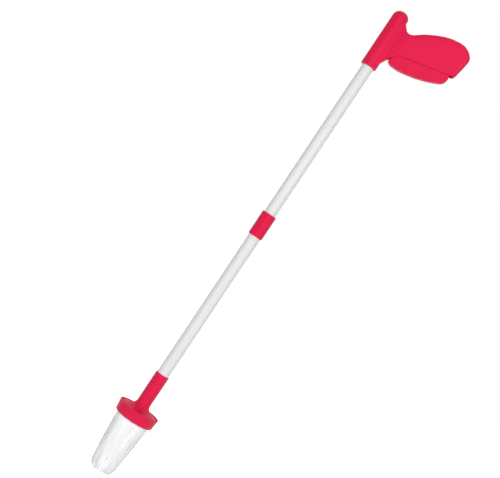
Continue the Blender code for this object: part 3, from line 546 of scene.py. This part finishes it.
def build_head():
    """The neck that flares into a bell, with a raised lip on its rim and a groove behind it."""
    rim_top = RIM_FOOT + RIM_BAND
    top = RIM_FOOT + HEAD_HEIGHT
    flare = []
    under = []
    for across, up in smooth_path(FLARE_SHARES, FLARE_STEPS):
        radius = NECK_RADIUS + across * (FLARE_RADIUS - NECK_RADIUS)
        height = rim_top + up * FLARE_HEIGHT
        flare.append((radius, height))
        if ROD_BORE * 2 < radius < CHAMBER_RADIUS - CEILING_WALL / 2:
            under.append((radius, height - CEILING_WALL))
    lip = rim_top + RIM_LIP_HEIGHT
    lip_foot = RIM_TOP_RADIUS - RIM_LIP_WIDTH
    rim = eased(
        [
            flare[-1],
            (lip_foot - GROOVE_WIDTH, rim_top - GROOVE_DEPTH),
            (lip_foot, rim_top - GROOVE_DEPTH),
            (lip_foot, lip),
            (RIM_TOP_RADIUS, lip),
            (RIM_FOOT_RADIUS, RIM_FOOT),
            (CHAMBER_RADIUS, RIM_FOOT),
            (CHAMBER_RADIUS, RIM_FOOT + CHAMBER_HEIGHT),
        ],
        RIM_ROUND / 2,
    )
    socket = [
        (ROD_BORE, under[0][1]),
        (ROD_BORE, top - NECK_SOCKET),
        (NECK_BORE, top - NECK_SOCKET),
        (NECK_BORE, top),
        (NECK_RADIUS - RIM_ROUND / 2, top),
        (NECK_RADIUS, top - RIM_ROUND / 2),
    ]
    profile = flare[:-1] + rim + list(reversed(under)) + socket
    mesh = turned_mesh("head_moulding", profile)
    new_piece("head_moulding", mesh, CRIMSON, "crimson_plastic", "pole", "head_bell")


def on_parting_line(place):
    """Whether a point lies where the two shells meet."""
    return abs(place.y) < PARTING_HALF


def moulded_mesh(node, grain, passes, held=None, reshaped=None):
    """A node's own shape drawn again on a fine grid, with the edges where its forms meet eased.

    Held says which of its points stay where they are. Reshaped gives a point's new place before
    the edges are eased.
    """
    item = bpy.data.objects.new(f"{node}_work", NODES[node].data.copy())
    bpy.context.scene.collection.objects.link(item)
    weld = item.modifiers.new("weld", "WELD")
    weld.merge_threshold = WELD
    remesh = item.modifiers.new("grain", "REMESH")
    remesh.mode = "VOXEL"
    remesh.voxel_size = grain
    item.data = evaluated_mesh(item)
    item.modifiers.clear()
    if reshaped:
        for point in item.data.vertices:
            point.co = reshaped(point.co)
    loose = item.vertex_groups.new(name="loose")
    free = [point.index for point in item.data.vertices if not (held and held(point.co))]
    loose.add(free, 1.0, "REPLACE")
    ease = item.modifiers.new("ease", "SMOOTH")
    ease.factor = EASING_FACTOR
    ease.iterations = passes
    ease.vertex_group = "loose"
    mesh = evaluated_mesh(item)
    drop(item)
    mesh.shade_smooth()
    return mesh


def lowered_web(place):
    """A point's place with the web beside the barrel taken down, up to the grip's face."""
    across = place.x - POLE_X
    if not WEB_START < across < WEB_END or abs(place.y) < WEB_INSIDE:
        return place
    share = (across - WEB_START) / (WEB_END - WEB_START)
    web = WEB_HALF + (GRIP_HALF - WEB_HALF) * share ** 2 * (3 - 2 * share)
    barrel = math.sqrt(max(BARREL_RADIUS ** 2 - across ** 2, 0))
    outside = abs(place.y) - WEB_INSIDE
    lowered = WEB_INSIDE + outside * (web - WEB_INSIDE) / (GRIP_HALF - WEB_INSIDE)
    half = max(lowered, min(abs(place.y), barrel))
    return Vector((place.x, math.copysign(half, place.y), place.z))


def build_handle():
    """The two shells of barrel and grip, and the trigger between them."""
    for side in ("left", "right"):
        node = f"handle_{side}_shell"
        mesh = moulded_mesh(node, SHELL_GRAIN, SHELL_EASING, on_parting_line, lowered_web)
        new_piece(f"{side}_shell_moulding", mesh, CRIMSON, "crimson_plastic", "pole", node)
    mesh = moulded_mesh("trigger", TRIGGER_GRAIN, TRIGGER_EASING)
    new_piece("trigger_moulding", mesh, CRIMSON, "crimson_plastic", "trigger", "trigger")


def tube_faces(first, rings, sides):
    """The walls and two ends of a closed tube whose points run ring by ring."""
    faces = []
    for ring in range(rings - 1):
        start = first + ring * sides
        for side in range(sides):
            after = (side + 1) % sides
            faces.append(
                (start + side, start + sides + side, start + sides + after, start + after)
            )
    last = first + (rings - 1) * sides
    faces.append(tuple(first + side for side in range(sides)))
    faces.append(tuple(last + side for side in reversed(range(sides))))
    return faces


def build_spring():
    """The return spring's round wire."""
    radius, foot, top = node_span("return_spring")
    rise = top - foot - 2 * SPRING_WIRE
    count = SPRING_TURNS * SPRING_STEPS
    points = []
    for step in range(count + 1):
        angle = 2 * math.pi * step / SPRING_STEPS
        outward = Vector((math.cos(angle), math.sin(angle), 0))
        centre = outward * (radius - SPRING_WIRE)
        centre.z = foot + SPRING_WIRE + rise * step / count
        for side in range(SPRING_SIDES):
            around = 2 * math.pi * side / SPRING_SIDES
            spoke = outward * math.cos(around) + Vector((0, 0, math.sin(around)))
            points.append(centre + spoke * SPRING_WIRE)
    mesh = bpy.data.meshes.new("return_spring_wire")
    mesh.from_pydata(points, [], tube_faces(0, count + 1, SPRING_SIDES))
    mesh.transform(Matrix.Translation((POLE_X, 0, TIP_Z)))
    mesh.shade_smooth()
    mesh.set_sharp_from_angle(angle=SMOOTH_ANGLE)
    wire = new_piece("return_spring_wire", mesh, ZINC, "plated_steel", "pole", "return_spring")
    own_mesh(wire)


def sector_half(radius):
    """Half the width that a tuft has at this distance from the pole's axis."""
    return radius * math.tan(math.pi / TUFTS) - TUFT_SPACING / 2


def strand_line(chance, outward, side, shorter):
    """The line of one bristle from root to tip, with X outwards and Y along the tuft's hinge.

    Use draws the tips together in the middle of their tuft and wears its corners down, so that
    it ends round.
    """
    drift = Vector((chance.gauss(0, 1), chance.gauss(0, 1))) * STRAND_WANDER
    rise = TIP_CORNER_RISE * outward ** 4 + TIP_SIDE_RISE * side ** 2 * (1 + outward) / 2
    rise += shorter + TIP_RAGGEDNESS * chance.random() ** 2
    line = []
    for ring in range(STRAND_RINGS):
        share = ring / (STRAND_RINGS - 1)
        outer = BRUSH_TOP_RADIUS + (BRUSH_TIP_RADIUS - BRUSH_TOP_RADIUS) * share - STRAND_RADIUS
        inner = ROOT_INNER + (MOUTH_RADIUS - ROOT_INNER) * share
        radius = inner + outward * (outer - inner)
        across = side * (sector_half(radius) + STRAND_OVERLAP - STRAND_RADIUS)
        across *= 1 - TIP_GATHERING * share ** 4
        height = ROOT_Z + (rise - ROOT_Z) * share
        sway = math.sin(math.pi * share)
        line.append(Vector((radius + drift.x * sway, across + drift.y * sway, height)))
    return line


def add_strand(line, turn, points, normals, faces):
    """Draw one closed, tapering filament, and lean its normals to the tuft's outside.

    So lit, the tuft reads as one soft mass with its strands in it.
    """
    first = len(points)
    for ring, centre in enumerate(line):
        taper = 1 - (1 - STRAND_TIP_SHARE) * (ring / (STRAND_RINGS - 1)) ** 3
        outside = Vector((centre.x, centre.y, 0)).normalized()
        for side in range(STRAND_SIDES):
            angle = turn + 2 * math.pi * side / STRAND_SIDES
            spoke = Vector((math.cos(angle), math.sin(angle), 0))
            points.append(centre + spoke * STRAND_RADIUS * taper)
            normals.append((outside * MASS_SHADING + spoke * (1 - MASS_SHADING)).normalized())
    faces.extend(tube_faces(first, STRAND_RINGS, STRAND_SIDES))


def add_prism(outline, foot, top, points, normals, faces):
    """Draw a closed flat-topped prism over an outline of (x, y) points that runs anticlockwise."""
    first = len(points)
    count = len(outline)
    middle = sum((Vector(point) for point in outline), Vector((0, 0))) / count
    centre = Vector((*middle, (foot + top) / 2))
    for height in (foot, top):
        for point in outline:
            corner = Vector((*point, height))
            points.append(corner)
            normals.append((corner - centre).normalized())
    for side in range(count):
        after = (side + 1) % count
        faces.append((first + side, first + after, first + count + after, first + count + side))
    faces.append(tuple(first + side for side in reversed(range(count))))
    faces.append(tuple(first + count + side for side in range(count)))


def block_outline():
    """The fused root block seen from above: a slice of a ring, with an arc inside and outside."""
    outline = []
    outer = (BRUSH_TOP_RADIUS, range(BLOCK_STEPS + 1))
    inner = (ROOT_INNER, range(BLOCK_STEPS, -1, -1))
    for radius, steps in (outer, inner):
        reach = math.asin(sector_half(radius * math.cos(math.pi / TUFTS)) / radius)
        for step in steps:
            angle = reach * (2 * step / BLOCK_STEPS - 1)
            outline.append((radius * math.cos(angle), radius * math.sin(angle)))
    return outline


def bristle_mesh(name, index):
    """One tuft: its fused root block, the pad that holds it, and its tapering strands."""
    chance = random.Random(index)
    points = []
    normals = []
    faces = []
    shorter = chance.random() * TUFT_UNEVENNESS
    pad = [
        (PAD_INNER, -PAD_HALF),
        (PAD_OUTER, -PAD_HALF),
        (PAD_OUTER, PAD_HALF),
        (PAD_INNER, PAD_HALF),
    ]
    add_prism(block_outline(), BLOCK_FOOT_Z, BLOCK_TOP_Z, points, normals, faces)
    add_prism(pad, BLOCK_TOP_Z, PAD_TOP_Z, points, normals, faces)
    for row in range(STRAND_ROWS):
        for column in range(STRAND_COLUMNS):
            outward = ((row + chance.random()) / STRAND_ROWS) ** OUTER_CROWDING
            side = 2 * (column + chance.random()) / STRAND_COLUMNS - 1
            turn = chance.uniform(0, 2 * math.pi)
            add_strand(strand_line(chance, outward, side, shorter), turn, points, normals, faces)
    mesh = bpy.data.meshes.new(name)
    mesh.from_pydata(points, [], faces)
    mesh.shade_smooth()
    mesh.normals_split_custom_set_from_vertices(normals)
    angle = (index + 0.5) * 2 * math.pi / TUFTS
    mesh.transform(Matrix.Translation((POLE_X, 0, TIP_Z)) @ Matrix.Rotation(angle, 4, "Z"))
    return mesh


def build_brush():
    """Twelve tufts that together close the brush, each on its own hinged holder."""
    for index in range(TUFTS):
        label = f"{index + 1:02d}"
        name = f"bristles_{label}"
        mesh = bristle_mesh(name, index)
        new_piece(name, mesh, NYLON, "white_nylon", f"tuft_{label}", f"bristle_tuft_{label}")


def finish_inner_pieces():
    """Give the nodes that stay as they are their real finish."""
    steel = ("handle_screw_", "trigger_pivot_pin", "disc_nut")
    for name, item in NODES.items():
        if item.hide_render:
            continue
        for slot in item.material_slots:
            slot.material = ZINC if name.startswith(steel) else ACETAL


def add_camera():
    """A camera at the photograph's viewing angle, with the pole leaning in its frame."""
    right = Vector((math.cos(POLE_LEAN), 0, math.sin(POLE_LEAN)))
    up = Vector((-math.sin(POLE_LEAN), 0, math.cos(POLE_LEAN)))
    back = right.cross(up)
    data = bpy.data.cameras.new("photo_camera")
    data.sensor_width = SENSOR_WIDTH
    data.lens = SENSOR_WIDTH * VIEW_DISTANCE / FRAME_WIDTH
    data.clip_start = NEAREST_SEEN
    camera = bpy.data.objects.new("photo_camera", data)
    bpy.context.scene.collection.objects.link(camera)
    centre = Vector((POLE_X + VIEW_CENTRE_X, 0, TIP_Z + VIEW_CENTRE_Z))
    turn = Matrix((right, up, back)).transposed().to_4x4()
    camera.matrix_world = Matrix.Translation(centre + back * VIEW_DISTANCE) @ turn
    bpy.context.scene.camera = camera


def add_lamp(name, place, size, power, reflected):
    """A soft square lamp that faces the middle of the pole and isn't seen itself.

    Reflected says whether glossy pieces show it, as the barrel's highlight shows the side lamp.
    """
    data = bpy.data.lights.new(name, "AREA")
    data.size = size
    data.energy = power
    lamp = bpy.data.objects.new(name, data)
    bpy.context.scene.collection.objects.link(lamp)
    lamp.location = place
    aim = Vector((POLE_X, 0, TIP_Z + VIEW_CENTRE_Z)) - lamp.location
    lamp.rotation_euler = aim.to_track_quat("-Z", "Y").to_euler()
    lamp.visible_camera = False
    lamp.visible_glossy = reflected


def background_rays(tree):
    """One for the rays that see the background: seen, reflected or let through by clear pieces."""
    path = add_node(tree, "ShaderNodeLightPath")
    seen = add_node(
        tree,
        "ShaderNodeMath",
        {0: path.outputs["Is Camera Ray"], 1: path.outputs["Is Glossy Ray"]},
        operation="MAXIMUM",
    )
    shown = add_node(
        tree,
        "ShaderNodeMath",
        {0: seen.outputs["Value"], 1: path.outputs["Is Transmission Ray"]},
        operation="MAXIMUM",
    )
    return shown.outputs["Value"]


def add_world():
    """White to the eye and in reflections, and a plain soft light on the object."""
    world = bpy.data.worlds.new("studio")
    bpy.context.scene.world = world
    world.use_nodes = True
    tree = world.node_tree
    tree.nodes.clear()
    plain = linear("#FFFFFF")
    light = add_node(tree, "ShaderNodeBackground", {"Color": plain, "Strength": AMBIENT})
    white = add_node(tree, "ShaderNodeBackground", {"Color": plain, "Strength": 1.0})
    mix = add_node(
        tree,
        "ShaderNodeMixShader",
        {0: background_rays(tree), 1: light.outputs["Background"], 2: white.outputs["Background"]},
    )
    add_node(tree, "ShaderNodeOutputWorld", {"Surface": mix.outputs["Shader"]})


def pale_floor_paint():
    """Matt studio paint: pale and diffuse, white to the eye, with the tool's soft shadow."""
    material, tree, shader, place = new_material("pale_floor_paint")
    tree.nodes.remove(shader)
    paint = add_node(tree, "ShaderNodeBsdfDiffuse", {"Color": linear("#EDEDED"), "Roughness": 0.5})
    reach = add_node(tree, "ShaderNodeVectorMath", {0: place}, operation="LENGTH")
    lift = add_node(
        tree,
        "ShaderNodeMapRange",
        {
            "Value": reach.outputs["Value"],
            "From Min": SHADOW_REACH,
            "From Max": SHADOW_END,
            "To Min": NEAR_GLOW,
            "To Max": FAR_GLOW,
        },
        interpolation_type="SMOOTHSTEP",
    )
    strength = add_node(
        tree,
        "ShaderNodeMath",
        {0: background_rays(tree), 1: lift.outputs["Result"]},
        operation="MULTIPLY",
    )
    glow = add_node(
        tree,
        "ShaderNodeEmission",
        {"Color": linear("#FFFFFF"), "Strength": strength.outputs["Value"]},
    )
    both = add_node(
        tree,
        "ShaderNodeAddShader",
        {0: paint.outputs["BSDF"], 1: glow.outputs["Emission"]},
    )
    tree.links.new(both.outputs["Shader"], tree.nodes["Material Output"].inputs["Surface"])
    material.cycles.emission_sampling = "NONE"
    return material


def add_floor():
    """The pale floor, a little below the tool, which is held clear of it."""
    mesh = bpy.data.meshes.new("floor")
    work = bmesh.new()
    bmesh.ops.create_grid(work, x_segments=1, y_segments=1, size=FLOOR_REACH)
    work.to_mesh(mesh)
    work.free()
    floor = bpy.data.objects.new("floor", mesh)
    floor.location = (POLE_X, 0, TIP_Z - FLOOR_DROP)
    mesh.materials.append(pale_floor_paint())
    bpy.context.scene.collection.objects.link(floor)


def add_studio():
    """Camera, lamps, world and floor.

    The key lamp stands by the camera, so round pieces darken at both edges.
    """
    add_camera()
    for name, settings in LAMPS.items():
        add_lamp(name, *settings)
    add_world()
    add_floor()
    bpy.context.scene.view_settings.view_transform = "Standard"


build_tubes()
build_collar()
build_head()
build_handle()
build_spring()
build_brush()
finish_inner_pieces()
add_studio()
